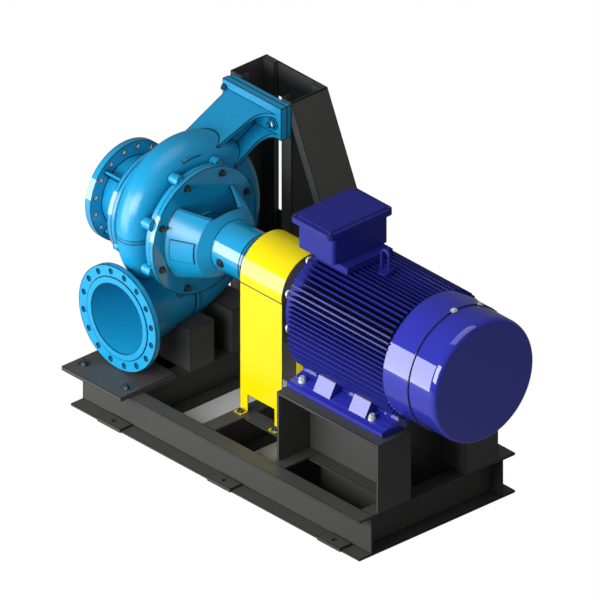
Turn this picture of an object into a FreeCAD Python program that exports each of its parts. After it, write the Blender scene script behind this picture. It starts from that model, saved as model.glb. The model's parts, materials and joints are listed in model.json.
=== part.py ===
"""Mixed-flow pump set: volute pump, coupling guard, finned motor and channel-steel skid.

X runs along the shaft with the motor at +X, Y runs across with the discharge at -Y, Z is up.
The origin is on the floor under the middle of the skid. All sizes are millimetres.
"""
import FreeCAD
import Part
import math
import os

V = FreeCAD.Vector

# skid
frame_length = 1890.0
frame_width = 925.0
beam_height = 200.0
beam_flange = 80.0
web_thickness = 9.0
flange_thickness = 11.0
guard_cross = -171.0
motor_cross = 287.0
tray_thickness = 6.0
strap_width = 80.0

# foundation pads on the lower flanges
pad_centre = 30.0
pad_spacing = 720.0
pad_length = 150.0
pad_inner = 400.0
pad_reach = 7.0
pad_height = 19.0
anchor_across = 870.0
anchor_hole = 22.0

# plates on the skid
plate_thickness = 20.0
plate_overhang = 55.0
plate_lap = 40.0
pump_plate_length = 388.0
front_plate_depth = 330.0

# shaft line
foot_height = 315.0
pedestal_height = 345.0
shaft_height = beam_height + pedestal_height + foot_height

# motor
motor_start = 275.0
fin_length = 647.0
frame_half_side = 283.0
frame_corner = 197.0
fin_depth = 34.0
fin_count = 72
fin_thickness = 8.0
drive_shield_length = 100.0
drive_shield_step = 18.0
drive_shield_nose = 150.0
drive_shield_shoulder = 175.0
drive_shield_rim = 235.0
rear_shield_length = 161.0
rear_shield_radius = 303.0
cowl_barrel = 134.0
cowl_nose = 38.0
cowl_radius = 298.0
cap_radius = 277.0
foot_spacing_across = 508.0
foot_spacing_along = 457.0
foot_hole = 28.0
foot_hole_shift = 29.0
foot_half_width = 42.0
foot_inner = 150.0
foot_edge_height = 24.0
foot_root_reach = 200.0
foot_root_height = 50.0
foot_root_peak = 100.0
foot_end_margin = 84.0
foot_block_offset = 62.0
foot_block_width = 108.0
foot_block_toe = 275.0
foot_block_head = 225.0
foot_block_height = 112.0
motor_shaft_radius = 40.0
box_start = 208.0
box_length = 238.0
box_half_width = 162.0
box_underside = 29.0
box_base_start = 290.0
box_base_length = 215.0
box_base_half_width = 135.0
box_corner = 18.0
lid_start = 188.0
lid_length = 264.0
lid_half_width = 192.0
lid_top = 194.0
lid_height = 34.0
lid_corner = 26.0
eye_place = 605.0
eye_base_radius = 34.0
eye_base_height = 12.0
eye_leg_height = 76.0
eye_radius = 24.0
eye_bar_radius = 7.0

# motor pedestals
pedestal_length = 664.0
pedestal_depth = 196.0
pedestal_inner = 160.0
pedestal_plate = 14.0

# pump
volute_centre = -760.0
spiral_start_radius = 250.0
spiral_end_radius = 360.0
passage_start = 66.0
passage_end = 131.0
casing_wall = 14.0
tongue_angle = -60.0
passage_angle = -30.0
spiral_stations = 16
drum_radius = 236.0
drum_flange_depth = 30.0
drum_flange_step = 20.0
boss_circle = 300.0
boss_radius = 26.0
boss_length = 58.0
discharge_drop = 385.0
discharge_bore = 166.0
discharge_face = -354.0
discharge_flange_radius = 252.5
discharge_flange_thickness = 28.0
discharge_bolt_circle = 225.0
discharge_raised_radius = 198.0
seam_band_width = 22.0
seam_band_height = 7.0
flange_holes = 16
flange_hole_radius = 12.0
raised_face = 4.0

suction_face = -1097.0
suction_flange_radius = 240.0
suction_flange_thickness = 34.0
suction_bore = 150.0
suction_neck_radius = 172.0
suction_bolt_circle = 213.0
suction_raised_radius = 186.0
suction_ring_face = -925.0
suction_ring_radius = 265.0
suction_ring_thickness = 24.0
suction_rib_count = 4
suction_rib_thickness = 18.0
suction_rib_radius = 218.0
ear_circle = 257.0
ear_angle = 117.0
ear_radius = 24.0
ear_length = 32.0

cover_radius = 305.0
cover_thickness = 25.0
cover_face = -582.0
cover_studs = 8

lantern_base_radius = 240.0
lantern_neck_radius = 173.0
lantern_length = 142.0
lantern_neck_length = 35.0
lantern_end_wall = 24.0
lantern_wall = 16.0
window_low = 172.0
window_high = 144.0
window_lap = 8.0
pad_offset = 25.0
pad_along = 105.0
pad_tall = 102.0
pad_rise = 5.0
housing_radius = 120.0
housing_end = -185.0
groove_count = 3
groove_pitch = 15.0
groove_width = 5.0
groove_depth = 4.0
gland_flange_radius = 96.0
gland_flange_thickness = 26.0
gland_radius = 66.0
gland_length = 64.0
shaft_radius = 38.0
running_clearance = 0.3
seating_clearance = 0.3

impeller_radius = 205.0
impeller_hub = 62.0
impeller_nose = 110.0
blade_count = 5
blade_thickness = 12.0

# coupling and guard
guard_radius = 168.0
guard_start = -161.0
guard_length = 274.0
guard_sheet = 4.0
guard_skirt = 290.0
leg_width = 50.0
coupling_radius = 105.0
coupling_length = 66.0
coupling_middle = -20.0
coupling_gap = 6.0

# cradles under the volute
cradle_start = -940.0
cradle_end = -542.0
cradle_height = 220.0
cradle_depth = 141.0
cradle_front = -117.0
cradle_rear = 135.0

# tower and top bracket
tower_start = -950.0
tower_length = 398.0
tower_depth = 215.0
tower_front = 490.0
tower_top = 1331.0
tower_sheet = 8.0
tower_post = 64.0
tower_post_lip = 50.0
tower_corner_width = 72.0
tower_corner_depth = 22.0
tower_low_panel = 363.0
leg_slope = 1.0 / 2.206
leg_lip = 52.0
bracket_centre = -745.0
bracket_length = 384.0
bracket_height = 160.0
bracket_thickness = 34.0
bracket_drop = 11.0
bracket_plate = 18.0
bracket_left_margin = 32.0
bracket_right_margin = 3.0
bracket_root_left = 108.0
bracket_root_right = 90.0
bracket_flare = 90.0
deck_below_top = 41.0
deck_root_across = 110.0
deck_root_height = 311.0
shelf_above_flange_foot = 24.0
shelf_root_across = 240.0
shelf_root_height = 215.0
shelf_half_root = 93.0
bracket_web_centre = -733.0
packer_thickness = 25.0

half_length = frame_length / 2.0
half_width = frame_width / 2.0
inner_width = half_width - beam_flange
deck_top = beam_height + plate_thickness
pedestal_top = beam_height + pedestal_height
pump_plate_end = -half_length + pump_plate_length
pump_cross = pump_plate_end - beam_flange
motor_foot_centre = motor_cross + pedestal_length / 2.0 - 20.0
tower_end = tower_start + tower_length
tower_back = tower_front + tower_depth
leg_end = tower_end + (tower_top - beam_height) * leg_slope
cover_back = cover_face - cover_thickness
drum_front = suction_ring_face + suction_ring_thickness
cone_end = cover_face + lantern_length
lantern_end = cone_end + lantern_neck_length
parts = {}


def block(x0, x1, y0, y1, z0, z1):
    return Part.makeBox(x1 - x0, y1 - y0, z1 - z0, V(x0, y0, z0))


def rod(x0, x1, radius, y=0.0, z=shaft_height):
    """A round bar along the shaft direction."""
    return Part.makeCylinder(radius, x1 - x0, V(x0, y, z), V(1, 0, 0))


def ring(x0, x1, outer, inner):
    return rod(x0, x1, outer).cut(rod(x0 - 1.0, x1 + 1.0, inner))


def polygon(points):
    return Part.Face(Part.makePolygon(points + [points[0]]))


def turned(profile):
    """A solid turned about the shaft line from (x, radius) points."""
    face = polygon([V(x, 0, shaft_height + r) for x, r in profile])
    return face.revolve(V(0, 0, shaft_height), V(1, 0, 0), 360)


def channel(length):
    """A channel bar along +X, back at y = 0, flanges towards +y, underside at z = 0."""
    outline = [
        V(0, 0, 0),
        V(0, beam_flange, 0),
        V(0, beam_flange, flange_thickness),
        V(0, web_thickness, flange_thickness),
        V(0, web_thickness, beam_height - flange_thickness),
        V(0, beam_flange, beam_height - flange_thickness),
        V(0, beam_flange, beam_height),
        V(0, 0, beam_height),
    ]
    return polygon(outline).extrude(V(length, 0, 0))


def channel_along(x0, x1, back, side):
    """A channel along X with its back at y = back and its flanges towards side (+1 or -1)."""
    bar = channel(x1 - x0)
    if side < 0:
        bar = bar.mirror(V(0, 0, 0), V(0, 1, 0))
    bar.translate(V(x0, back, 0))
    return bar


def channel_across(y0, y1, back, side):
    """A channel along Y with its back at x = back and its flanges towards side (+1 or -1)."""
    bar = channel(y1 - y0)
    bar.rotate(V(0, 0, 0), V(0, 0, 1), 90)
    if side > 0:
        bar = bar.mirror(V(0, 0, 0), V(1, 0, 0))
    bar.translate(V(back, y0, 0))
    return bar


def fuse_all(shapes):
    first, rest = shapes[0], shapes[1:]
    return first.multiFuse(rest).removeSplitter() if rest else first


def around(shape, count, start=0.0):
    """Copies of a shape, evenly spaced about the shaft line."""
    copies = []
    for index in range(count):
        copy = shape.copy()
        copy.rotate(V(0, 0, shaft_height), V(1, 0, 0), start + index * 360.0 / count)
        copies.append(copy)
    return copies


def foundation_pads(side):
    """Three thick pads at the edge of a long beam's lower flange."""
    y0, y1 = sorted((side * pad_inner, side * (half_width + pad_reach)))
    pads = []
    for step in (-1, 0, 1):
        x = pad_centre + step * pad_spacing
        pads.append(block(x - pad_length / 2.0, x + pad_length / 2.0, y0, y1, 0.0, pad_height))
    return pads


def build_skid():
    for name, side in (("beam_front", -1), ("beam_rear", 1)):
        beam = channel_along(-half_length, half_length, side * inner_width, side)
        beam = fuse_all([beam] + foundation_pads(side))
        for step in (-1, 0, 1):
            place = V(pad_centre + step * pad_spacing, side * anchor_across / 2.0, -1.0)
            beam = beam.cut(Part.makeCylinder(anchor_hole / 2.0, pad_height + 2.0, place))
        parts[name] = beam
    crosses = {
        "cross_left_end": (-half_length + beam_flange, -1),
        "cross_pump": (pump_cross, 1),
        "cross_guard": (guard_cross, 1),
        "cross_motor": (motor_cross, 1),
        "cross_right_end": (half_length - beam_flange, 1),
    }
    for name, (back, side) in crosses.items():
        parts[name] = channel_across(-inner_width, inner_width, back, side)
    start = motor_cross + beam_flange
    end = half_length - beam_flange
    parts["inner_beam_front"] = channel_along(start, end, -pedestal_inner, -1)
    parts["inner_beam_rear"] = channel_along(start, end, pedestal_inner, 1)
    outriggers = {
        "outrigger_left": (tower_start + beam_flange, -1),
        "outrigger_middle": (tower_end - beam_flange, 1),
        "outrigger_leg": (leg_end - beam_flange, 1),
    }
    for name, (back, side) in outriggers.items():
        parts[name] = channel_across(half_width, tower_back, back, side)


def build_plates():
    """Plates on the beams, the guard's straps and the sheets that close the bays below."""
    front = -half_width - plate_overhang
    parts["pump_plate"] = block(-half_length, pump_plate_end, front, front + front_plate_depth,
                                beam_height, deck_top)
    parts["tower_plate"] = block(tower_start, tower_end, inner_width - plate_lap, tower_back,
                                 beam_height, deck_top)
    tip = guard_cross + beam_flange
    for name, side in (("guard_strap_front", -1), ("guard_strap_rear", 1)):
        near, far = guard_radius - strap_width / 2.0, guard_radius + strap_width / 2.0
        y0, y1 = sorted((side * near, side * far))
        parts[name] = block(tip, motor_cross, y0, y1, beam_height - flange_thickness, beam_height)
    trays = {
        "tray_pump": (pump_plate_end, guard_cross, inner_width),
        "tray_guard": (tip, motor_cross, inner_width),
        "tray_motor": (motor_cross + beam_flange, half_length - beam_flange, pedestal_inner),
    }
    for name, (x0, x1, reach) in trays.items():
        parts[name] = block(x0, x1, -reach, reach, 0.0, tray_thickness)


def pedestal(side):
    """A fabricated motor stool: top plate, inner back plate and two end plates."""
    y_in = side * pedestal_inner
    y_out = side * (pedestal_inner + pedestal_depth)
    y0, y1 = min(y_in, y_out), max(y_in, y_out)
    x0, x1 = motor_cross, motor_cross + pedestal_length
    z0, z1 = beam_height, pedestal_top
    t = pedestal_plate
    back = block(x0, x1, min(y_in, y_in + side * t), max(y_in, y_in + side * t), z0, z1)
    ends = [block(x0, x0 + t, y0, y1, z0, z1), block(x1 - t, x1, y0, y1, z0, z1)]
    top = block(x0, x1, y0, y1, z1 - t, z1)
    return fuse_all([back, top] + ends)


def build_motor():
    z = shaft_height
    fin_end = motor_start + fin_length
    core = frame_half_side - fin_depth
    points = []
    pitch = 2.0 * math.pi / fin_count
    for index in range(fin_count):
        middle = index * pitch
        half_tip = 0.5 * fin_thickness / frame_half_side
        half_root = 0.7 * fin_thickness / core
        for angle, radius in (
            (middle - half_root, core),
            (middle - half_tip, frame_reach(middle - half_tip)),
            (middle + half_tip, frame_reach(middle + half_tip)),
            (middle + half_root, core),
        ):
            points.append(V(motor_start, radius * math.cos(angle), z + radius * math.sin(angle)))
    parts["motor_frame"] = polygon(points).extrude(V(fin_length, 0, 0))

    nose = motor_start - drive_shield_length
    parts["motor_drive_shield"] = turned([
        (nose, motor_shaft_radius),
        (nose, drive_shield_nose),
        (nose + drive_shield_step, drive_shield_shoulder),
        (nose + 2.0 * drive_shield_step, drive_shield_rim),
        (motor_start, core),
        (motor_start, motor_shaft_radius),
    ])
    shield_end = fin_end + rear_shield_length
    parts["motor_rear_shield"] = rod(fin_end, shield_end, rear_shield_radius)
    barrel_end = shield_end + cowl_barrel
    cowl_end = barrel_end + cowl_nose
    half_outline = outline([
        [V(shield_end, 0, z), V(shield_end, 0, z + cowl_radius)],
        [V(shield_end, 0, z + cowl_radius), V(barrel_end, 0, z + cowl_radius)],
        [V(barrel_end, 0, z + cowl_radius), V(cowl_end, 0, z + cowl_radius), V(cowl_end, 0, z + cap_radius)],
        [V(cowl_end, 0, z + cap_radius), V(cowl_end, 0, z)],
        [V(cowl_end, 0, z), V(shield_end, 0, z)],
    ])
    parts["fan_cowl"] = half_outline.revolve(V(0, 0, z), V(1, 0, 0), 360)

    frame_top = z + frame_half_side
    lid_under = frame_top + lid_top - lid_height
    body = block(box_start, box_start + box_length, -box_half_width, box_half_width,
                 frame_top + box_underside, lid_under)
    body = body.makeFillet(box_corner, [e for e in body.Edges if e.BoundBox.ZLength > 10.0])
    base = block(box_base_start, box_base_start + box_base_length, -box_base_half_width, box_base_half_width,
                 z, frame_top + box_underside)
    base = base.cut(frame_envelope(box_base_start - 1.0, box_base_start + box_base_length + 1.0))
    parts["terminal_box"] = fuse_all([body, base])
    lid = block(lid_start, lid_start + lid_length, -lid_half_width, lid_half_width,
                lid_under, lid_under + lid_height)
    lid = lid.makeFillet(lid_corner, [e for e in lid.Edges if e.BoundBox.ZLength > 10.0])
    top = [e for e in lid.Edges if e.BoundBox.ZMin > lid_under + lid_height - 0.01]
    parts["terminal_lid"] = lid.makeFillet(8.0, top)

    for name, side in (("motor_foot_front", -1), ("motor_foot_rear", 1)):
        parts[name] = motor_foot(side, motor_foot_centre)

    boss = Part.makeCylinder(eye_base_radius, eye_base_height, V(eye_place, 0, frame_top))
    leg_foot = frame_top + eye_base_height
    bend = leg_foot + eye_leg_height
    legs = [Part.makeCylinder(eye_bar_radius, eye_leg_height, V(eye_place + side * eye_radius, 0, leg_foot))
            for side in (-1, 1)]
    hoop = Part.makeTorus(eye_radius, eye_bar_radius, V(eye_place, 0, bend), V(0, 1, 0))
    reach = eye_radius + 2.0 * eye_bar_radius
    hoop = hoop.cut(block(eye_place - reach, eye_place + reach, -reach, reach, bend - reach, bend))
    parts["eye_bolt"] = fuse_all([boss, hoop] + legs)


def frame_reach(angle):
    """Distance from the shaft line to the motor frame's rounded-square outline."""
    across, up = abs(math.cos(angle)), abs(math.sin(angle))
    flat = frame_half_side - frame_corner
    if min(across, up) * frame_half_side <= flat * max(across, up):
        return frame_half_side / max(across, up)
    along = flat * (across + up)
    return along + math.sqrt(along ** 2 - 2.0 * flat ** 2 + frame_corner ** 2)


def frame_envelope(x0, x1):
    """The space inside the tips of the frame's fins."""
    reach = frame_half_side
    body = block(x0, x1, -reach, reach, shaft_height - reach, shaft_height + reach)
    return body.makeFillet(frame_corner, [e for e in body.Edges if e.BoundBox.XLength > 1.0])


def motor_foot(side, foot_x):
    """One long cast foot of the motor: a flange, a root that runs into the fins and two sloping blocks."""
    z = pedestal_top
    middle = side * foot_spacing_across / 2.0
    outer = middle + side * foot_half_width
    length = foot_spacing_along + 2.0 * foot_end_margin
    x0 = foot_x - length / 2.0
    profile = [
        V(x0, side * foot_inner, z),
        V(x0, outer, z),
        V(x0, outer, z + foot_edge_height),
        V(x0, side * foot_root_reach, z + foot_root_height),
        V(x0, side * foot_root_reach, z + foot_root_peak),
        V(x0, side * foot_inner, z + foot_root_peak),
    ]
    pieces = [polygon(profile).extrude(V(length, 0, 0))]
    for start in (foot_x - foot_block_offset - foot_block_width, foot_x + foot_block_offset):
        slope = [
            V(start, side * foot_inner, z),
            V(start, side * foot_block_toe, z),
            V(start, side * foot_block_toe, z + foot_edge_height),
            V(start, side * foot_block_head, z + foot_block_height),
            V(start, side * foot_inner, z + foot_block_height),
        ]
        pieces.append(polygon(slope).extrude(V(foot_block_width, 0, 0)))
    foot = fuse_all(pieces).cut(frame_envelope(x0 - 1.0, x0 + length + 1.0))
    for step in (-0.5, 0.5):
        x = foot_x - foot_hole_shift + step * foot_spacing_along
        foot = foot.cut(Part.makeCylinder(foot_hole / 2.0, 200.0, V(x, middle, z - 1.0)))
    return foot


def spiral_section(angle, grow):
    """A round section of the spiral at an angle of flow, in degrees from -Y over the top."""
    share = max(angle, 0.0) / 270.0
    centre = spiral_start_radius + share * (spiral_end_radius - spiral_start_radius)
    radius = passage_start + share * (passage_end - passage_start) + grow
    turn = math.radians(angle)
    place = V(volute_centre, -centre * math.cos(turn), shaft_height + centre * math.sin(turn))
    along = V(0, math.sin(turn), math.cos(turn))
    return Part.Wire(Part.makeCircle(radius, place, along))


def discharge_section(share, grow):
    """A round section of the outlet pipe, from the throat (0) to the flange (1)."""
    drop = spiral_end_radius + share * (discharge_drop - spiral_end_radius)
    radius = passage_end + share * (discharge_bore - passage_end) + grow
    place = V(volute_centre, share * discharge_face, shaft_height - drop)
    return Part.Wire(Part.makeCircle(radius, place, V(0, -1, 0)))


def spiral_solid(grow, start):
    """The spiral as a loft of round sections, from the start angle to the throat under the shaft."""
    pitch = (270.0 - start) / (spiral_stations - 1)
    sections = [spiral_section(start + pitch * step, grow) for step in range(spiral_stations)]
    return Part.makeLoft(sections, True, False)


def outlet_solid(grow):
    return Part.makeLoft([discharge_section(share, grow) for share in (0.0, 0.35, 0.7, 1.0)], True, False)


def cross_rod(y0, y1, radius, x=volute_centre, z=shaft_height - discharge_drop):
    """A round bar across the set, on the outlet's own line."""
    return Part.makeCylinder(radius, y1 - y0, V(x, y0, z), V(0, 1, 0))


def casing_outside(grow):
    """The outside of the volute: a drum with its two rims, eight stud bosses and the spiral tube."""
    drum = turned([
        (drum_front - grow, 0.0),
        (drum_front - grow, suction_ring_radius + grow),
        (drum_front + 22.0, suction_ring_radius + grow),
        (drum_front + 40.0, drum_radius + grow),
        (cover_back - drum_flange_depth - drum_flange_step - grow, drum_radius + grow),
        (cover_back - drum_flange_depth - grow, cover_radius - 6.0 + grow),
        (cover_back + grow, cover_radius - 6.0 + grow),
        (cover_back + grow, 0.0),
    ])
    boss = rod(cover_back - boss_length - grow, cover_back + grow, boss_radius + grow, 0.0,
               shaft_height + boss_circle)
    bosses = around(boss, cover_studs, 180.0 / cover_studs)
    ear = rod(drum_front - grow, drum_front + ear_length + grow, ear_radius + grow, 0.0,
              shaft_height + ear_circle)
    tube = spiral_solid(casing_wall + grow, tongue_angle)
    return fuse_all([drum, tube] + bosses + around(ear, 1, ear_angle))


def branch_outside(grow):
    """The outside of the outlet pipe, with the raised band where it meets the spiral's end."""
    band = cross_rod(-seam_band_width, 0.0, passage_end + casing_wall + seam_band_height + grow,
                     z=shaft_height - spiral_end_radius)
    return fuse_all([outlet_solid(casing_wall + grow), band])


def build_casing():
    chamber = turned([
        (drum_front - 1.0, 0.0),
        (drum_front - 1.0, suction_bore + 40.0),
        (cover_back + 1.0, suction_bore + 70.0),
        (cover_back + 1.0, 0.0),
    ])
    casing = casing_outside(0.0).cut(branch_outside(0.0)).cut(spiral_solid(0.0, passage_angle))
    parts["volute_casing"] = casing.cut(chamber)

    face = discharge_face
    flange = cross_rod(face, face + discharge_flange_thickness, discharge_flange_radius)
    raised = cross_rod(face - raised_face, face, discharge_raised_radius)
    mouth = cross_rod(face - raised_face - 2.0, face, discharge_bore)
    branch = fuse_all([branch_outside(0.0), flange, raised]).cut(outlet_solid(0.0)).cut(mouth)
    for index in range(flange_holes):
        angle = math.radians((index + 0.5) * 360.0 / flange_holes)
        x = volute_centre + discharge_bolt_circle * math.cos(angle)
        height = shaft_height - discharge_drop + discharge_bolt_circle * math.sin(angle)
        branch = branch.cut(cross_rod(face - 1.0, face + discharge_flange_thickness + 1.0,
                                      flange_hole_radius, x, height))
    parts["discharge_branch"] = branch


def build_suction():
    x_flange = suction_face + suction_flange_thickness
    x_ring = suction_ring_face
    body = turned([
        (suction_face - raised_face, suction_bore),
        (suction_face - raised_face, suction_raised_radius),
        (suction_face, suction_raised_radius),
        (suction_face, suction_flange_radius),
        (x_flange, suction_flange_radius),
        (x_flange, suction_neck_radius),
        (x_ring - 20.0, suction_neck_radius),
        (x_ring, suction_neck_radius + 30.0),
        (x_ring, suction_ring_radius),
        (drum_front, suction_ring_radius),
        (drum_front, suction_bore),
    ])
    half_rib = suction_rib_thickness / 2.0
    rib = block(x_flange, x_ring, -half_rib, half_rib, shaft_height + suction_bore + 6.0,
                shaft_height + suction_rib_radius)
    body = fuse_all([body] + around(rib, suction_rib_count, 45.0))
    hole = rod(suction_face - 1.0, x_flange + 1.0, flange_hole_radius, 0.0,
               shaft_height + suction_bolt_circle)
    for copy in around(hole, flange_holes, 180.0 / flange_holes):
        body = body.cut(copy)
    parts["suction_cover"] = body


def build_drive_side():
    z = shaft_height
    back = cover_back
    parts["casing_cover"] = turned([
        (back, shaft_radius + 22.0),
        (back, cover_radius),
        (cover_face, cover_radius),
        (cover_face, shaft_radius + 22.0),
    ])
    parts["bearing_lantern"] = lantern_casting()
    bore = shaft_radius + running_clearance
    profile = [(lantern_end, bore), (lantern_end, housing_radius)]
    for index in range(groove_count, 0, -1):
        x = housing_end - index * groove_pitch
        profile += [(x, housing_radius), (x, housing_radius - groove_depth),
                    (x + groove_width, housing_radius - groove_depth), (x + groove_width, housing_radius)]
    parts["bearing_housing"] = turned(profile + [(housing_end, housing_radius), (housing_end, bore)])
    parts["seal_gland"] = turned([
        (cover_face, bore),
        (cover_face, gland_flange_radius),
        (cover_face + gland_flange_thickness, gland_flange_radius),
        (cover_face + gland_flange_thickness, gland_radius),
        (cover_face + gland_length, gland_radius),
        (cover_face + gland_length, bore),
    ])
    hub_back = back - 40.0
    pump_end = coupling_middle - coupling_gap / 2.0
    motor_end = coupling_middle + coupling_gap / 2.0
    parts["coupling_pump"] = ring(pump_end - coupling_length, pump_end, coupling_radius, shaft_radius)
    parts["coupling_motor"] = ring(motor_end, motor_end + coupling_length, coupling_radius,
                                   motor_shaft_radius)
    parts["pump_shaft"] = rod(hub_back, pump_end, shaft_radius)
    parts["motor_shaft"] = rod(motor_end, motor_start, motor_shaft_radius)
    parts["impeller"] = impeller(hub_back)


def lantern_casting():
    """The open cone between pump and bearings: two side walls, a closed neck and a flat pad."""
    z = shaft_height
    w = lantern_wall
    lantern = turned([
        (cover_face, lantern_base_radius - w),
        (cover_face, lantern_base_radius),
        (cone_end, lantern_neck_radius),
        (lantern_end, housing_radius + 2.0),
        (lantern_end, shaft_radius + running_clearance),
        (lantern_end - lantern_end_wall, shaft_radius + running_clearance),
        (lantern_end - lantern_end_wall, housing_radius - w),
        (cone_end, lantern_neck_radius - w),
    ])
    shell = turned([
        (cover_face, lantern_base_radius - 2.0),
        (cover_face, lantern_base_radius + pad_rise),
        (cone_end, lantern_neck_radius + pad_rise),
        (cone_end, lantern_neck_radius - 2.0),
    ])
    pad_start = cover_face + pad_offset
    pad = shell.common(block(pad_start, pad_start + pad_along, -lantern_base_radius - 50.0, 0.0,
                             z - pad_tall / 2.0, z + pad_tall / 2.0))
    lantern = fuse_all([lantern, pad])
    reach = lantern_base_radius + 10.0
    opening = polygon([
        V(cover_face - 1.0, -reach, z + window_low),
        V(cone_end, -reach, z + window_high),
        V(cone_end + window_lap, -reach, z + window_high + window_lap),
        V(cone_end + window_lap, -reach, z + reach),
        V(cover_face - 1.0, -reach, z + reach),
    ]).extrude(V(0, 2.0 * reach, 0))
    for window in around(opening, 2):
        lantern = lantern.cut(window)
    return lantern


def impeller(hub_back):
    """An open mixed-flow wheel: a cone hub with twisted blades that sweep outwards."""
    z = shaft_height
    nose = volute_centre - impeller_nose
    hub = turned([
        (nose, 0.0),
        (nose + 12.0, 26.0),
        (volute_centre - 30.0, impeller_hub),
        (hub_back, impeller_radius * 0.72),
        (hub_back + 18.0, impeller_radius * 0.72),
        (hub_back + 18.0, 0.0),
    ])
    hub = hub.cut(rod(hub_back, hub_back + 20.0, shaft_radius))
    blades = []
    stations = 5
    x0, x1 = volute_centre - 92.0, hub_back + 10.0
    for index in range(blade_count):
        wires = []
        for step in range(stations):
            share = step / (stations - 1.0)
            x = x0 + share * (x1 - x0)
            root = 18.0 + share * (impeller_radius * 0.55)
            tip = suction_bore - 12.0 + share * (impeller_radius - suction_bore + 8.0)
            turn = index * 360.0 / blade_count + share * 62.0
            t = blade_thickness / 2.0
            corners = [V(x, -t, z + root), V(x, t, z + root), V(x, t, z + tip), V(x, -t, z + tip)]
            wire = Part.makePolygon(corners + [corners[0]])
            wire.rotate(V(0, 0, z), V(1, 0, 0), turn)
            wires.append(wire)
        blades.append(Part.makeLoft(wires, True, False))
    return fuse_all([hub] + blades)


def build_guard():
    z = shaft_height
    x0, x1 = guard_start, guard_start + guard_length
    r, t = guard_radius, guard_sheet
    outer = fuse_all([rod(x0, x1, r), block(x0, x1, -r, r, guard_skirt, z)])
    inner = fuse_all([rod(x0 - 1.0, x1 + 1.0, r - t), block(x0 - 1.0, x1 + 1.0, -r + t, r - t, 0.0, z)])
    sheet = outer.cut(inner)
    pieces = [sheet]
    for side in (-1, 1):
        for start in (x0, x1 - leg_width):
            y0, y1 = sorted((side * r, side * (r - t)))
            pieces.append(block(start, start + leg_width, y0, y1, beam_height, guard_skirt + 20.0))
            f0, f1 = sorted((side * r, side * (r + 40.0)))
            pieces.append(block(start, start + leg_width, f0, f1, beam_height, beam_height + t))
    parts["coupling_guard"] = fuse_all(pieces)


def build_pump_supports():
    """Two cradles that carry the volute, each hollowed to the casing's own shape."""
    envelope = fuse_all([casing_outside(seating_clearance), branch_outside(seating_clearance)])
    for name, y in (("pump_cradle_front", cradle_front), ("pump_cradle_rear", cradle_rear)):
        cradle = block(cradle_start, cradle_end, y, y + cradle_depth, beam_height,
                       beam_height + cradle_height)
        parts[name] = cradle.cut(envelope)


def build_tower():
    x0, x1 = tower_start, tower_end
    y0, y1 = tower_front, tower_back
    t, p = tower_sheet, tower_post
    z0, z1 = deck_top, tower_top
    parts["tower_left_wall"] = block(x0, x0 + t, y0, y1, z0, z1)
    parts["tower_back_wall"] = fuse_all([
        block(x0 + t, x1, y1 - t, y1, z1 - bracket_drop - bracket_height, z1),
        block(x0 + t, x1, y1 - t, y1, z0, z0 + tower_low_panel),
        block(x0 + t, x0 + t + tower_corner_width, y1 - t - tower_corner_depth, y1, z0, z1),
        block(x1 - tower_corner_width, x1, y1 - t - tower_corner_depth, y1, z0, z1),
    ])
    parts["tower_post_left"] = fuse_all([
        block(x0 + t, x0 + t + p, y0, y0 + t, z0, z1),
        block(x0 + p, x0 + t + p, y0 + t, y0 + tower_post_lip, z0, z1),
    ])
    parts["tower_post_right"] = fuse_all([
        block(x1 - p, x1, y0, y0 + t, z0, z1),
        block(x1 - p, x1 - p + t, y0 + t, y0 + tower_post_lip, z0, z1),
    ])
    run = (z1 - beam_height) * leg_slope
    outer = [V(x1, y0, z1), V(x1 + run, y0, beam_height), V(x1 + run - t, y0, beam_height), V(x1 - t, y0, z1)]
    web = polygon(outer).extrude(V(0, tower_depth, 0))
    strip = [V(x1, y0, z1), V(x1 + run, y0, beam_height), V(x1 + run - leg_lip, y0, beam_height),
             V(x1 - leg_lip, y0, z1)]
    lip = polygon(strip).extrude(V(0, t, 0))
    far_lip = lip.copy()
    far_lip.translate(V(0, tower_depth - t, 0))
    leg = fuse_all([web, lip, far_lip])
    upright = block(x0, x1, y0, y1, z0 - 40.0, z1 + 1.0)
    parts["tower_sloping_leg"] = leg.cut(upright)


def outline(paths):
    """A flat face bounded by straight edges (two points) and smooth curves (more points)."""
    edges = []
    for poles in paths:
        if len(poles) == 2:
            edges.append(Part.makeLine(poles[0], poles[1]))
        else:
            curve = Part.BezierCurve()
            curve.setPoles(poles)
            edges.append(curve.toShape())
    return Part.Face(Part.Wire(edges))


def sloping_plate(plan, root, head):
    """A plate of even thickness that slopes from its root up to the flange, cut to a plan outline."""
    x0, x1 = plan.BoundBox.XMin - 1.0, plan.BoundBox.XMax + 1.0
    drop = V(0, 0, -bracket_plate)
    edge = [V(x0, root.y, root.z), V(x0, head.y, head.z)]
    edge += [edge[1] + drop, edge[0] + drop]
    strip = polygon(edge).extrude(V(x1 - x0, 0, 0))
    column = plan.extrude(V(0, 0, tower_top + 100.0))
    return strip.common(column)


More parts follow.
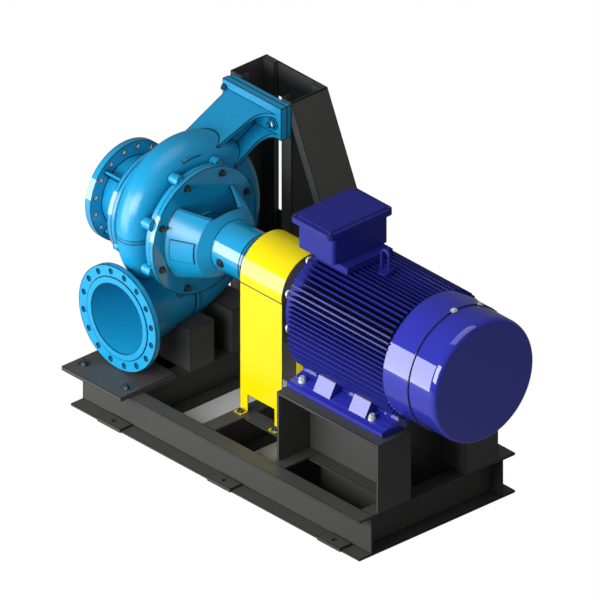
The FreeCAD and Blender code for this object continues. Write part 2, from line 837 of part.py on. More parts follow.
def build_bracket():
    """The cast arm from the tower to the volute: a flange, a top plate, a web and a lower plate."""
    x0 = bracket_centre - bracket_length / 2.0
    x1 = bracket_centre + bracket_length / 2.0
    y_pack = tower_front - packer_thickness
    y0 = y_pack - bracket_thickness
    z1 = tower_top - bracket_drop
    z0 = z1 - bracket_height
    parts["bracket_packer"] = block(x0 + 6.0, x1, y_pack, tower_front, z0, z1)
    flange = block(x0, x1, y0, y_pack, z0, z1)

    left_head, right_head = x0 + bracket_left_margin, x1 - bracket_right_margin
    left_root, right_root = volute_centre - bracket_root_left, volute_centre + bracket_root_right
    y_root = deck_root_across
    y_flare = y0 - bracket_flare
    plan = outline([
        [V(left_root, y_root, 0), V(right_root, y_root, 0)],
        [V(right_root, y_root, 0), V(right_root, y_flare, 0)],
        [V(right_root, y_flare, 0), V(right_root, y0, 0), V(right_head, y0, 0)],
        [V(right_head, y0, 0), V(left_head, y0, 0)],
        [V(left_head, y0, 0), V(left_root, y_root, 0)],
    ])
    deck_root = V(0, y_root, shaft_height + deck_root_height)
    deck_head = V(0, y0, z1 - deck_below_top)
    deck = sloping_plate(plan, deck_root, deck_head)

    middle = bracket_web_centre
    half = shelf_half_root
    y_root = shelf_root_across
    plan = outline([
        [V(middle - half, y_root, 0), V(middle + half, y_root, 0)],
        [V(middle + half, y_root, 0), V(middle + half, y_flare, 0)],
        [V(middle + half, y_flare, 0), V(middle + half, y0, 0), V(right_head, y0, 0)],
        [V(right_head, y0, 0), V(left_head, y0, 0)],
        [V(left_head, y0, 0), V(middle - half, y0, 0), V(middle - half, y_flare, 0)],
        [V(middle - half, y_flare, 0), V(middle - half, y_root, 0)],
    ])
    shelf_root = V(0, y_root, shaft_height + shelf_root_height)
    shelf_head = V(0, y0, z0 + shelf_above_flange_foot)
    shelf = sloping_plate(plan, shelf_root, shelf_head)

    x_web = middle - bracket_plate / 2.0
    corners = [deck_root, deck_head, shelf_head, shelf_root]
    web = polygon([V(x_web, point.y, point.z - 0.5 * bracket_plate) for point in corners])
    web = web.extrude(V(bracket_plate, 0, 0))
    arm = fuse_all([flange, deck, shelf, web])
    parts["top_bracket"] = arm.cut(casing_outside(seating_clearance))


def build():
    build_skid()
    build_plates()
    parts["pedestal_front"] = pedestal(-1)
    parts["pedestal_rear"] = pedestal(1)
    build_motor()
    build_casing()
    build_suction()
    build_drive_side()
    build_guard()
    build_pump_supports()
    build_tower()
    build_bracket()
    os.makedirs("parts", exist_ok=True)
    for name, shape in parts.items():
        shape.exportStep(os.path.join("parts", name + ".step"))
        box = shape.BoundBox
        print(name, len(shape.Solids), shape.isValid(), round(shape.Volume / 1e6, 2),
              [round(v) for v in (box.XMin, box.XMax, box.YMin, box.YMax, box.ZMin, box.ZMax)])


build()
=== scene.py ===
"""Looks of the mixed-flow pump set: volute pump, coupling guard, finned motor and steel skid.

Metres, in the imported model's own frame: X along the shaft towards the motor, -Y is the discharge side.
"""
import json
import math

import bmesh
import bpy
from mathutils import Matrix, Vector


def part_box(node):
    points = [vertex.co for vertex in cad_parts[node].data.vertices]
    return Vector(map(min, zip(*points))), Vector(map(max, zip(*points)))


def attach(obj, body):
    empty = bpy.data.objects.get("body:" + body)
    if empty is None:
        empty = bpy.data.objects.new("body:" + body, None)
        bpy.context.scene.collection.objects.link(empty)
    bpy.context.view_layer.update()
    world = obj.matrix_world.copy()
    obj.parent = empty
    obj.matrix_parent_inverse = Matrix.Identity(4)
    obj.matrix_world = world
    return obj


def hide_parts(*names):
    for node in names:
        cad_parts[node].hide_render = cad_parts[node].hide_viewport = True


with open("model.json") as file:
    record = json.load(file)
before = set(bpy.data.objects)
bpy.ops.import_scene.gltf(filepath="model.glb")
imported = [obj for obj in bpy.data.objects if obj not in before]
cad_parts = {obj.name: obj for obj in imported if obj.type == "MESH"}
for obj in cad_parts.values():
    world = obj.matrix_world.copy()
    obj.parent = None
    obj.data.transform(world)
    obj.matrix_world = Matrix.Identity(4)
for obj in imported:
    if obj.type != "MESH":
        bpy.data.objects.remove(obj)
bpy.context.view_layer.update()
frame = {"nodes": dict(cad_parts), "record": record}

nodes = frame["nodes"]
scene = bpy.context.scene


# Skid, stools, cradles and tower
# Hot-rolled channels and flame-cut plates, welded together, shot-blasted and given one coat of satin black
# machine paint. The coat is dull enough to glow softly where it faces the light and stays dark elsewhere.
def linear(code):
    """An sRGB hex colour as linear RGBA."""
    channels = [int(code[i:i + 2], 16) / 255 for i in (1, 3, 5)]
    return (*[c / 12.92 if c <= 0.04045 else ((c + 0.055) / 1.055) ** 2.4 for c in channels], 1.0)


def add(tree, kind, settings=None, links=None):
    """Adds a node, sets its sockets or properties, and links its inputs from other nodes' outputs."""
    made = tree.nodes.new(kind)
    for key, value in (settings or {}).items():
        if isinstance(key, int) or key in made.inputs:
            made.inputs[key].default_value = value
        else:
            setattr(made, key, value)
    for key, (source, output) in (links or {}).items():
        tree.links.new(source.outputs[output], made.inputs[key])
    return made


def material(name):
    """An empty node material and its tree."""
    made = bpy.data.materials.new(name)
    made.use_nodes = True
    made.node_tree.nodes.clear()
    return made, made.node_tree


def coating(name, colour, shade, edge_shade_colour, rough, lift, ior, grain=0.004, clear_coat=0.0, edge_shade_reach=0.008):
    """Paint, plating or oil on metal: two close shades in soft clouds, a fine ripple, and a painted dark line on
    each edge.

    A dark line is painted along every edge and crease as painted shade and outline. It is drawn about 5 mm wide,
    wider than real crease shade, so that it shows in the picture.
    The ripple's grain and lift and the line's reach are in metres. Sprayed paint ripples every 4 to 6 mm;
    the 2 mm grain of the steel finishes is coarser than the real one, or it wouldn't show. The photograph
    shades its steel as it shades paint, with no mirror images, so no finish is metallic.
    """
    cloud_size = 0.2
    edge_shade_starts, edge_shade_full = 0.98, 0.92  # cosines of the angle between the rounded and the flat normal
    rough_spread = 0.03

    made, tree = material(name)
    place = add(tree, "ShaderNodeTexCoord")
    clouds = add(tree, "ShaderNodeTexNoise", {"Scale": 1.0 / cloud_size, "Detail": 4.0},
                 {"Vector": (place, "Object")})
    # Mix sockets for colours: 6 and 7 are the two that are mixed, and output 2 is the result.
    body = add(tree, "ShaderNodeMix", {"data_type": "RGBA", 6: linear(colour), 7: linear(shade)},
               {0: (clouds, "Fac")})
    # Painted shade: the colour darkens to a dark line along every edge and in every crease, where the rounded
    # normal turns away from the flat one.
    rounded = add(tree, "ShaderNodeBevel", {"samples": 8, "Radius": edge_shade_reach})
    flat = add(tree, "ShaderNodeNewGeometry")
    turn = add(tree, "ShaderNodeVectorMath", {"operation": "DOT_PRODUCT"},
               {0: (rounded, "Normal"), 1: (flat, "Normal")})
    painted_edge_shade_mask = add(tree, "ShaderNodeMapRange",
                {"From Min": edge_shade_starts, "From Max": edge_shade_full, "To Min": 0.0, "To Max": 1.0},
                {"Value": (turn, "Value")})
    colour_with_edge_shade = add(tree, "ShaderNodeMix", {"data_type": "RGBA", 7: linear(edge_shade_colour)},
                {0: (painted_edge_shade_mask, "Result"), 6: (body, 2)})
    ripple = add(tree, "ShaderNodeTexNoise", {"Scale": 1.0 / grain, "Detail": 2.0},
                 {"Vector": (place, "Object")})
    bump = add(tree, "ShaderNodeBump", {"Strength": 0.5, "Distance": lift}, {"Height": (ripple, "Fac")})
    sheen = add(tree, "ShaderNodeMapRange", {"To Min": rough - rough_spread, "To Max": rough + rough_spread},
                {"Value": (clouds, "Fac")})
    shader = add(tree, "ShaderNodeBsdfPrincipled",
                 {"IOR": ior, "Coat Weight": clear_coat, "Coat Roughness": 0.04},
                 {"Base Color": (colour_with_edge_shade, 2), "Roughness": (sheen, "Result"), "Normal": (bump, "Normal")})
    add(tree, "ShaderNodeOutputMaterial", links={"Surface": (shader, "BSDF")})
    return made


def coat(finish, *names):
    """Gives CAD nodes their finish."""
    for name in names:
        nodes[name].data.materials.clear()
        nodes[name].data.materials.append(finish)


black_paint = coating("satin_black_machine_paint", "#3b3b3a", "#40403f", edge_shade_colour="#080808",
                      rough=0.5, lift=0.0001, ior=1.4)
coat(black_paint, "beam_front", "beam_rear", "cross_left_end", "cross_pump", "cross_guard", "cross_motor",
     "cross_right_end", "inner_beam_front", "inner_beam_rear", "outrigger_left", "outrigger_middle",
     "outrigger_leg", "guard_strap_front", "guard_strap_rear", "pump_plate", "tower_plate",
     "pedestal_front", "pedestal_rear", "pump_cradle_front", "pump_cradle_rear", "tower_left_wall",
     "tower_back_wall", "tower_post_left", "tower_post_right", "tower_sloping_leg")


# Bolts of the pump plate
# Two hexagon bolts of blackened steel on plain washers, screwed down through the free part of the plate.
# The thin oiled oxide on them is nearly black, with small sharp glints on the flats.
def fit(name, sheet, finish):
    """Makes one finished piece from a sheet: its mesh, shading, finish and body."""
    sharp_from = math.radians(32)
    bmesh.ops.recalc_face_normals(sheet, faces=sheet.faces)
    for face in sheet.faces:
        face.smooth = True
    mesh = bpy.data.meshes.new(name)
    sheet.to_mesh(mesh)
    sheet.free()
    mesh.set_sharp_from_angle(angle=sharp_from)
    mesh.materials.append(finish)
    piece = bpy.data.objects.new(name, mesh)
    scene.collection.objects.link(piece)
    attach(piece, "root")
    return piece


def aim(place, axis, turn=0.0):
    """Carries the origin and its +Z to a place and an axis, after a turn about +Z in radians."""
    return (Matrix.Translation(place) @ Vector(axis).to_track_quat("Z", "Y").to_matrix().to_4x4()
            @ Matrix.Rotation(turn, 4, "Z"))


def bar(sheet, pose, radius, start, end, sides=32, tip=None):
    """A round or six-sided solid between two heights on a pose; a tip radius tapers it."""
    middle = pose @ Matrix.Translation((0.0, 0.0, (start + end) / 2.0))
    bmesh.ops.create_cone(sheet, cap_ends=True, segments=sides, radius1=radius,
                          radius2=radius if tip is None else tip, depth=end - start, matrix=middle)


def hex_bolt(sheet, pose, across, washer, head, stud=0.0):
    """A washer, a chamfered hexagon and the end of the thread, seated 1 mm deep."""
    seated = -0.001
    corner = across / math.sqrt(3.0)
    washer_radius, chamfer_radius, thread_radius = across * 0.85, across * 0.44, across * 0.3
    chamfer = washer + head * 0.85
    top = washer + head
    bar(sheet, pose, washer_radius, seated, washer)
    bar(sheet, pose, corner, washer, chamfer, sides=6)
    bar(sheet, pose, corner, chamfer, top, sides=6, tip=chamfer_radius)
    if stud:
        bar(sheet, pose, thread_radius, top, top + stud, sides=20)


dark_steel = coating("blackened_steel_fastener", "#1b2025", "#22272c", edge_shade_colour="#050607",
                     rough=0.22, grain=0.002, lift=0.00003, ior=1.9, edge_shade_reach=0.002)
upwards = (0.0, 0.0, 1.0)
plate_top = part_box("pump_plate")[1].z
sheet = bmesh.new()
for x, y in ((-0.611, -0.436), (-0.894, -0.431)):
    hex_bolt(sheet, aim((x, y, plate_top), upwards), across=0.030, washer=0.003, head=0.014, stud=0.008)
fit("pump_plate_bolts", sheet, dark_steel)


# Right side of the tower
# A bare steel plate welded in between the right post and the back corner, which closes the tower above the
# sloping leg. It is painted with the rest of the tower.
def slab(sheet, low, high):
    """A rectangular block between its lowest and highest corners."""
    low, high = Vector(low), Vector(high)
    bmesh.ops.create_cube(sheet, size=1.0, matrix=Matrix.Translation((low + high) / 2.0)
                          @ Matrix.Diagonal((*(high - low), 1.0)))


plate_thickness = 0.008
plate_recess = 0.0004
post_low, post_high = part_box("tower_post_right")
back_wall_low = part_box("tower_back_wall")[0]
sheet = bmesh.new()
slab(sheet, (post_high.x - plate_thickness, post_low.y + plate_thickness, post_low.z),
     (post_high.x - plate_recess, back_wall_low.y, post_high.z))
fit("tower_right_plate", sheet, black_paint)


# Trays in the bays of the skid
# Thin steel sheets laid on the lower flanges, in a grey primer that nobody paints over. It is chalky and
# throws no highlight, so the trays look like flat pale ground between the dark beams.
grey_primer = coating("matt_grey_primer", "#dededa", "#d6d6d2", edge_shade_colour="#3a3a38", rough=0.6, lift=0.0001, ior=1.4)
coat(grey_primer, "tray_pump", "tray_guard", "tray_motor")


# Pump casing, covers, bearing lantern and top bracket
# Grey iron castings, filled, primed and sprayed with a light blue machinery enamel that dries to a high gloss.
# The enamel levels out on turned faces and mirrors the lamps; the cast skin under it breaks them up.
mounts = {mount["name"]: mount for mount in frame["record"]["mounts"]}
shaft_height = mounts["suction_flange"]["pos_m"][2]
enamel_blue, enamel_shade, enamel_edge_shade = "#1389b8", "#1183b0", "#02141c"
blue_enamel = coating("light_blue_gloss_enamel", enamel_blue, enamel_shade, edge_shade_colour=enamel_edge_shade,
                      rough=0.10, grain=0.006, lift=0.00006, ior=1.6, clear_coat=1.0, edge_shade_reach=0.011)
cast_enamel = coating("light_blue_enamel_on_casting", enamel_blue, enamel_shade, edge_shade_colour=enamel_edge_shade,
                      rough=0.28, grain=0.006, lift=0.0002, ior=1.5, edge_shade_reach=0.011)
coat(blue_enamel, "suction_cover", "casing_cover", "bearing_housing", "seal_gland")
coat(cast_enamel, "volute_casing", "discharge_branch", "bearing_lantern", "bracket_packer", "top_bracket")


# Cover nuts
# Eight studs screwed into the casing hold the cover. Their nuts are blackened steel on plain washers.
def round_shaft(x, radius, angle):
    """A place at a radius round the shaft, with the angle in degrees from the top over the -Y side."""
    turn = math.radians(angle)
    return Vector((x, -radius * math.sin(turn), shaft_height + radius * math.cos(turn)))


towards_motor = (1.0, 0.0, 0.0)
cover_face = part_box("casing_cover")[1].x
stud_count = 8
sheet = bmesh.new()
for index in range(stud_count):
    spot = round_shaft(cover_face, radius=0.272, angle=(index + 0.5) * 360.0 / stud_count)
    hex_bolt(sheet, aim(spot, towards_motor, turn=0.3), across=0.021, washer=0.003, head=0.013, stud=0.008)
fit("cover_nuts", sheet, dark_steel)

# Gland nuts
# Four blackened steel nuts that press the gland onto its packing. They show through the lantern's windows.
gland_face = cover_face + 0.026
first_nut = 15
sheet = bmesh.new()
for index in range(4):
    spot = round_shaft(gland_face, radius=0.082, angle=first_nut + 90 * index)
    hex_bolt(sheet, aim(spot, towards_motor), across=0.020, washer=0.002, head=0.010, stud=0.012)
fit("gland_nuts", sheet, dark_steel)

# Ear bolt
# A blackened steel bolt through the ear of the casing, which joins the suction cover to it.
sheet = bmesh.new()
ear = aim(round_shaft(x=-0.869, radius=0.257, angle=117), towards_motor)
hex_bolt(sheet, ear, across=0.024, washer=0.003, head=0.014, stud=0.010)
fit("ear_bolt", sheet, dark_steel)

# Oil plug
# A blackened steel plug with a round collar and a hexagon, screwed into the side of the bearing housing.
plug_angle = 100.6
housing_low, housing_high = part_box("bearing_housing")
housing_radius = housing_high.z - shaft_height
outward = round_shaft(x=0.0, radius=1.0, angle=plug_angle) - Vector((0.0, 0.0, shaft_height))
seat = aim(round_shaft(housing_low.x + 0.059, housing_radius - 0.001, plug_angle), outward)
sheet = bmesh.new()
bar(sheet, seat, radius=0.022, start=-0.004, end=0.004)
bar(sheet, seat, radius=0.017, start=0.004, end=0.012, sides=6)
fit("oil_plug", sheet, dark_steel)


# Suction flange sleeves
# Thin sleeves of zinc-plated steel, pushed into the sixteen bolt holes after painting.
# Zinc is pale and cool with a tight highlight, so the holes look bright in the blue flange.
def ring(sheet, pose, inner, outer, length, sides):
    """A square-edged ring standing on a pose."""
    rims = [bmesh.ops.create_circle(sheet, cap_ends=False, segments=sides, radius=radius, matrix=pose)["verts"]
            for radius in (inner, outer)]
    edges = dict.fromkeys(edge for rim in rims for vert in rim for edge in vert.link_edges)
    flat = bmesh.ops.bridge_loops(sheet, edges=list(edges))["faces"]
    grown = bmesh.ops.extrude_face_region(sheet, geom=flat)["geom"]
    lift = pose.to_3x3() @ Vector((0.0, 0.0, length))
    bmesh.ops.translate(sheet, verts=[item for item in grown if isinstance(item, bmesh.types.BMVert)], vec=lift)


bright_steel = coating("bright_zinc_plated_steel", "#c9cdd2", "#b8bdc4", edge_shade_colour="#3c4046",
                       rough=0.2, grain=0.002, lift=0.00003, ior=1.9, edge_shade_reach=0.002)
flange_face = mounts["suction_flange"]["pos_m"][0]
holes = mounts["suction_flange"]["dims"]
hole_circle = holes["pcd_mm"] / 2000.0
sleeve_radius = holes["hole_r_mm"] / 1000.0 - 0.0002
sleeve_wall = 0.002
sheet = bmesh.new()
for index in range(holes["count"]):
    spot = round_shaft(flange_face + 0.0005, hole_circle, angle=(index + 0.5) * 360.0 / holes["count"])
    ring(sheet, aim(spot, towards_motor), inner=sleeve_radius - sleeve_wall, outer=sleeve_radius,
         length=0.033, sides=24)
fit("suction_hole_sleeves", sheet, bright_steel)

# Seam band on the scroll
# The joint between the spiral's two cast lengths, ground to a pair of raised beads and painted over.
# It runs round the place where the scroll comes down over the discharge branch, at the shaft's height.
scroll_x = mounts["discharge_flange"]["pos_m"][0]
scroll_y = -0.250
sheet = bmesh.new()
for bead_foot in (shaft_height - 0.011, shaft_height + 0.004):
    ring(sheet, aim((scroll_x, scroll_y, bead_foot), upwards), inner=0.078, outer=0.0825, length=0.007, sides=96)
fit("seam_band", sheet, cast_enamel)

# Gauge pad on the scroll
# A narrow iron pad for a gauge, cast on the shoulder of the scroll and painted with it. It follows the
# scroll round the shaft for 18 degrees, half of them on each side of the top.
pad_middle = (-0.670, 0.0, 1.190)
pad_tilt = math.radians(26.6)
pad_sweep = math.radians(18)
half_diagonal = 0.0095
sheet = bmesh.new()
section = (Matrix.Translation(pad_middle) @ Matrix.Rotation(pad_tilt, 4, "Y")
           @ Matrix.Rotation(math.radians(90), 4, "X") @ Matrix.Rotation(math.radians(45), 4, "Z"))
bmesh.ops.create_circle(sheet, cap_ends=True, segments=4, radius=half_diagonal, matrix=section)
bmesh.ops.rotate(sheet, verts=sheet.verts, cent=(0.0, 0.0, shaft_height),
                 matrix=Matrix.Rotation(-pad_sweep / 2.0, 3, "X"))
bmesh.ops.spin(sheet, geom=sheet.verts[:] + sheet.edges[:] + sheet.faces[:], cent=(0.0, 0.0, shaft_height),
               axis=towards_motor, angle=pad_sweep, steps=18)
fit("gauge_pad", sheet, cast_enamel)

# Bolts of the top bracket
# Steel bolts through the bracket's flange into the packer and the tower, sprayed over with the casing.
towards_front = (0.0, -1.0, 0.0)
bracket_flange = 0.034
bracket_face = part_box("top_bracket")[1].y - bracket_flange
sheet = bmesh.new()
hex_bolt(sheet, aim((-0.604, bracket_face, 1.230), towards_front, turn=0.5),
         across=0.036, washer=0.005, head=0.020, stud=0.010)
hex_bolt(sheet, aim((-0.922, bracket_face, 1.280), towards_front),
         across=0.022, washer=0.003, head=0.012, stud=0.006)
fit("bracket_bolts", sheet, blue_enamel)


# Shafts, coupling and impeller
# Shafts and coupling are turned carbon steel under a film of oil, which softens their shine. The wheel is
# cast bronze, warm in colour and dull from the sand it was cast in.
steel = coating("oiled_turned_steel", "#b9bbbd", "#a9abad", edge_shade_colour="#55585a",
                rough=0.3, grain=0.002, lift=0.00004, ior=1.5)
bronze = coating("cast_bronze", "#b08a4a", "#a27c40", edge_shade_colour="#4a3818",
                 rough=0.4, grain=0.003, lift=0.0001, ior=1.5)
coat(steel, "pump_shaft", "motor_shaft", "coupling_pump", "coupling_motor")
coat(bronze, "impeller")


# Coupling guard
# One bent steel sheet on four welded feet, with a second sheet lapped over its hood. Yellow safety paint
# covers both: a strong even colour, glossy enough for a long highlight over the bend.
yellow_paint = coating("yellow_safety_paint", "#d6c408", "#d0be06", edge_shade_colour="#3c3804",
                       rough=0.10, lift=0.00006, ior=1.6, edge_shade_reach=0.006)
coat(yellow_paint, "coupling_guard")
guard_low, guard_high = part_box("coupling_guard")
hood_radius = guard_high.z - shaft_height
lap_radius = hood_radius + 0.0008
lap_short_of_hood = 0.001
half_length = (guard_high.x - lap_short_of_hood - guard_low.x) / 2.0
half_thickness = 0.0009
lap_middle = guard_low.x + half_length
lap_reach = math.radians(96)
sheet = bmesh.new()
strip = (Matrix.Translation((lap_middle, 0.0, shaft_height + lap_radius))
         @ Matrix.Rotation(math.radians(90), 4, "X")
         @ Matrix.Diagonal((half_length, half_thickness, 1.0, 1.0)))
bmesh.ops.create_grid(sheet, x_segments=1, y_segments=1, size=1.0, matrix=strip)
bmesh.ops.rotate(sheet, verts=sheet.verts, cent=(0.0, 0.0, shaft_height),
                 matrix=Matrix.Rotation(-lap_reach, 3, "X"))
bmesh.ops.spin(sheet, geom=sheet.verts[:] + sheet.edges[:] + sheet.faces[:], cent=(0.0, 0.0, shaft_height),
               axis=towards_motor, angle=2.0 * lap_reach, steps=96)
fit("guard_hood_lap", sheet, yellow_paint)

# Painted shadow under the hood's lap
# A thin dark strip along both flanks is painted shadow under the lapped sheet's free edge, which stands off a
# little.
half_shadow_strip = Vector((half_length, 0.0008, 0.00225))
shadow_strip_height = shaft_height - 0.0195
sheet = bmesh.new()
for flank in (-hood_radius - 0.0005, hood_radius + 0.0005):
    shadow_strip_middle = Vector((lap_middle, flank, shadow_strip_height))
    slab(sheet, shadow_strip_middle - half_shadow_strip, shadow_strip_middle + half_shadow_strip)
fit("guard_lap_painted_shadow", sheet, dark_steel)

# Guard foot bolts
# Blackened steel bolts that hold the turned-out feet down on the skid's straps.
foot_top = guard_low.z + 0.004
end_margin, side_margin = 0.025, 0.020
sheet = bmesh.new()
for x in (guard_low.x + end_margin, guard_high.x - end_margin):
    for y in (guard_low.y + side_margin, guard_high.y - side_margin):
        hex_bolt(sheet, aim((x, y, foot_top), upwards), across=0.020, washer=0.002, head=0.010, stud=0.005)
fit("guard_foot_bolts", sheet, dark_steel)


# Motor
# A finned iron frame between two shields and a pressed fan cowl, all in one coat of dark blue gloss enamel.
# On the smooth shields and cowl the coat mirrors the lights; on the cast fins it is rougher and painted a darker
# blue, as painted shade.
motor_enamel = coating("dark_blue_gloss_enamel", "#2b30a4", "#282d9e", edge_shade_colour="#080a2c",
                       rough=0.05, lift=0.00003, ior=1.45, clear_coat=0.8)
# Painted shade: this copy of the same enamel is a darker blue; the fins, drive shield, terminal box, lid and eye
# bolt wear it.
shaded_fin_enamel = coating("dark_blue_enamel_on_rough_casting", "#21257e", "#1e2278", edge_shade_colour="#050722",
                     rough=0.3, lift=0.0002, ior=1.3, edge_shade_reach=0.0035)
coat(motor_enamel, "motor_rear_shield", "fan_cowl", "motor_foot_front", "motor_foot_rear")
coat(shaded_fin_enamel, "motor_frame", "motor_drive_shield", "terminal_box", "eye_bolt")

# Terminal box lid
# A cast iron lid with rounded corners and a raised panel, screwed to the box and painted with the frame.
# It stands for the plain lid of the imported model.
lid_low, lid_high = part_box("terminal_lid")
lid_corner = 0.026
lid_margin = 0.020
panel_slope, panel_rise = 0.005, 0.006
lid_top = lid_high.z - panel_rise
half_lid = (lid_top - lid_low.z) / 2.0
sheet = bmesh.new()
slab(sheet, lid_low, (lid_high.x, lid_high.y, lid_top))
uprights = [edge for edge in sheet.edges if abs(edge.verts[0].co.z - edge.verts[1].co.z) > half_lid]
bmesh.ops.bevel(sheet, geom=uprights, offset=lid_corner, segments=6, profile=0.5, affect="EDGES", material=-1)
panel = [face for face in sheet.faces if face.calc_center_median().z > lid_top - half_lid / 2.0]
bmesh.ops.inset_region(sheet, faces=panel, thickness=lid_margin, use_even_offset=True)
bmesh.ops.inset_region(sheet, faces=panel, thickness=panel_slope, depth=panel_rise, use_even_offset=True)
terminal_lid = fit("terminal_lid_cast", sheet, shaded_fin_enamel)
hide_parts("terminal_lid")

# Terminal box lid screws
# One low screw of blackened steel in each corner of the lid.
screw_margin = 0.017
sheet = bmesh.new()
for x in (lid_low.x + screw_margin, lid_high.x - screw_margin):
    for y in (lid_low.y + screw_margin, lid_high.y - screw_margin):
        hex_bolt(sheet, aim((x, y, lid_top), upwards), across=0.014, washer=0.0005, head=0.0055)
fit("terminal_lid_screws", sheet, dark_steel)

# Motor foot bolts
# Zinc-plated steel bolts with thick washers, let into the sloping feet at their four holes. The holes keep
# the standard 457 mm along and 508 mm across of a motor with a 315 mm shaft height.
foot_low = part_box("motor_foot_front")[0]
first_bolt = foot_low.x + 0.055
bolts_along, bolts_across = 0.457, 0.508
washer_foot = foot_low.z + 0.029
washer_top, head_top = 0.020, 0.031
sheet = bmesh.new()
for x in (first_bolt, first_bolt + bolts_along):
    for y in (-bolts_across / 2.0, bolts_across / 2.0):
        seat = aim((x, y, washer_foot), upwards, turn=0.4)
        bar(sheet, seat, radius=0.0175, start=0.0, end=washer_top, sides=40)
        bar(sheet, seat, radius=0.013, start=washer_top, end=head_top, sides=6)
fit("motor_foot_bolts", sheet, bright_steel)

# Drive shield bolts
# Zinc-plated steel bolts in a ring, which hold the shield to the frame. They show in the gap beside the guard.
towards_pump = (-1.0, 0.0, 0.0)
shield_low, shield_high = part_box("motor_drive_shield")
shield_face = shield_low.x + 0.034
shield_bolt_circle = shield_high.z - shaft_height - 0.025
shield_bolt_count = 8
sheet = bmesh.new()
for index in range(shield_bolt_count):
    spot = round_shaft(shield_face, shield_bolt_circle, angle=(index + 0.5) * 360.0 / shield_bolt_count)
    hex_bolt(sheet, aim(spot, towards_pump), across=0.026, washer=0.004, head=0.016)
fit("drive_shield_bolts", sheet, bright_steel)

# Cowl screws
# Two screws of zinc-plated steel on the seam, which hold the fan cowl to the rear shield.
seam_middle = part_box("fan_cowl")[0].x
rim_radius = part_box("motor_rear_shield")[1].z - shaft_height
sheet = bmesh.new()
for angle in (5, -25):
    spot = round_shaft(seam_middle, rim_radius - 0.0015, angle)
    outward = spot - Vector((seam_middle, 0.0, shaft_height))
    hex_bolt(sheet, aim(spot, outward), across=0.020, washer=0.002, head=0.007)
fit("cowl_screws", sheet, bright_steel)

# Cowl seam
# A dark ring in the seam is painted shade in the gap where the pressed steel cowl slips over the rear shield's
# rim.
seam_width = 0.003
seam_start = (seam_middle - seam_width / 2.0, 0.0, shaft_height)
sheet = bmesh.new()
ring(sheet, aim(seam_start, towards_motor), inner=0.290, outer=rim_radius + 0.0006, length=seam_width, sides=160)
fit("cowl_seam_painted_shade", sheet, dark_steel)


# Studio floor
# A pale floor a hair below the skid. The camera sees it as white for all but 7%, which leaves the shadow in;
# the light that falls on it meets a mid grey.
scene.view_settings.view_transform = "Standard"

floor_half_width = 12.0
floor_drop = 0.0005
white_share = 0.93
white_strength = 1.07
floor_mesh = bpy.data.meshes.new("floor")
sheet = bmesh.new()
bmesh.ops.create_grid(sheet, x_segments=1, y_segments=1, size=floor_half_width)
sheet.to_mesh(floor_mesh)
sheet.free()
floor = bpy.data.objects.new("floor", floor_mesh)
floor.location.z = -floor_drop
scene.collection.objects.link(floor)

floor_material, tree = material("pale_floor")
rays = add(tree, "ShaderNodeLightPath")
matt = add(tree, "ShaderNodeBsdfDiffuse", {"Color": linear("#8a8a8a")})
white = add(tree, "ShaderNodeEmission", {"Color": (1.0, 1.0, 1.0, 1.0), "Strength": white_strength})
share = add(tree, "ShaderNodeMath", {"operation": "MULTIPLY", 1: white_share}, {0: (rays, "Is Camera Ray")})
blend = add(tree, "ShaderNodeMixShader", links={0: (share, "Value"), 1: (matt, "BSDF"), 2: (white, "Emission")})
add(tree, "ShaderNodeOutputMaterial", links={"Surface": (blend, "Shader")})
floor_mesh.materials.append(floor_material)

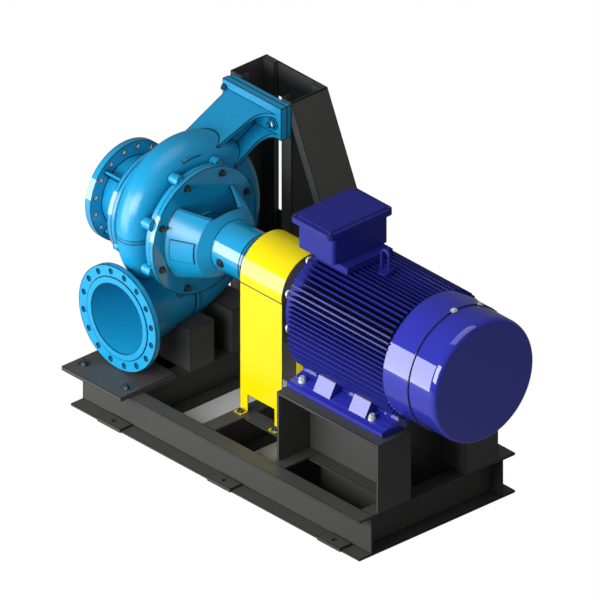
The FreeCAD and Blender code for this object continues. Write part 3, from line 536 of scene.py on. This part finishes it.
# Studio surround
# White to the camera, like the picture's ground. It lights the set more weakly, and its mirror image in the
# gloss is weaker still, so that the enamels keep their colour.
surround_light = 0.38
surround_in_gloss = 0.35
world = bpy.data.worlds.new("studio")
scene.world = world
world.use_nodes = True
tree = world.node_tree
tree.nodes.clear()
rays = add(tree, "ShaderNodeLightPath")
seen = add(tree, "ShaderNodeMapRange", {"To Min": surround_light, "To Max": 1.0},
           {"Value": (rays, "Is Camera Ray")})
dim = add(tree, "ShaderNodeMapRange", {"To Min": 1.0, "To Max": surround_in_gloss},
          {"Value": (rays, "Is Glossy Ray")})
level = add(tree, "ShaderNodeMath", {"operation": "MULTIPLY"}, {0: (seen, "Result"), 1: (dim, "Result")})
sky = add(tree, "ShaderNodeBackground", {"Color": (1.0, 1.0, 1.0, 1.0)}, {"Strength": (level, "Value")})
add(tree, "ShaderNodeOutputWorld", links={"Surface": (sky, "Background")})


# Studio lamps
# Three softboxes. The side one stands where the gloss on the motor's shields and feet and on the pump's
# turned faces mirrors it, the front one lifts the black steel's near sides, and the top one fills in.
def softbox(name, middle, facing, width, height, power):
    """A rectangular area light at a place, facing along a direction."""
    lamp = bpy.data.lights.new(name, "AREA")
    lamp.shape = "RECTANGLE"
    lamp.size, lamp.size_y, lamp.energy = width, height, power
    holder = bpy.data.objects.new(name, lamp)
    holder.location = middle
    holder.rotation_mode = "QUATERNION"
    holder.rotation_quaternion = (-Vector(facing)).to_track_quat("Z", "Y")
    scene.collection.objects.link(holder)


softbox("side_softbox", middle=(-2.05, -2.5, 1.04), facing=(0.0, 1.0, 0.0), width=2.9, height=2.04, power=110.0)
softbox("front_softbox", middle=(0.3, -3.6, 1.9), facing=(0.0, 0.95, -0.3), width=2.6, height=1.8, power=140.0)
softbox("top_softbox", middle=(0.0, 0.0, 4.5), facing=(0.0, 0.0, -1.0), width=3.0, height=3.0, power=40.0)

# Camera
# Without perspective, as in the picture, from the front right and above.
view_azimuth = math.radians(47.8)
view_elevation = math.radians(29.4)
view_width = 2.64
view_distance = 8.0
view_limit = 40.0
target = Vector((-0.0475, 0.0846, 0.700))
camera_data = bpy.data.cameras.new("camera")
camera_data.type = "ORTHO"
camera_data.ortho_scale = view_width
camera_data.clip_end = view_limit
camera = bpy.data.objects.new("camera", camera_data)
away = Vector((
    math.sin(view_azimuth) * math.cos(view_elevation),
    -math.cos(view_azimuth) * math.cos(view_elevation),
    math.sin(view_elevation),
))
camera.location = target + away * view_distance
camera.rotation_mode = "QUATERNION"
camera.rotation_quaternion = away.to_track_quat("Z", "Y")
scene.collection.objects.link(camera)
scene.camera = camera
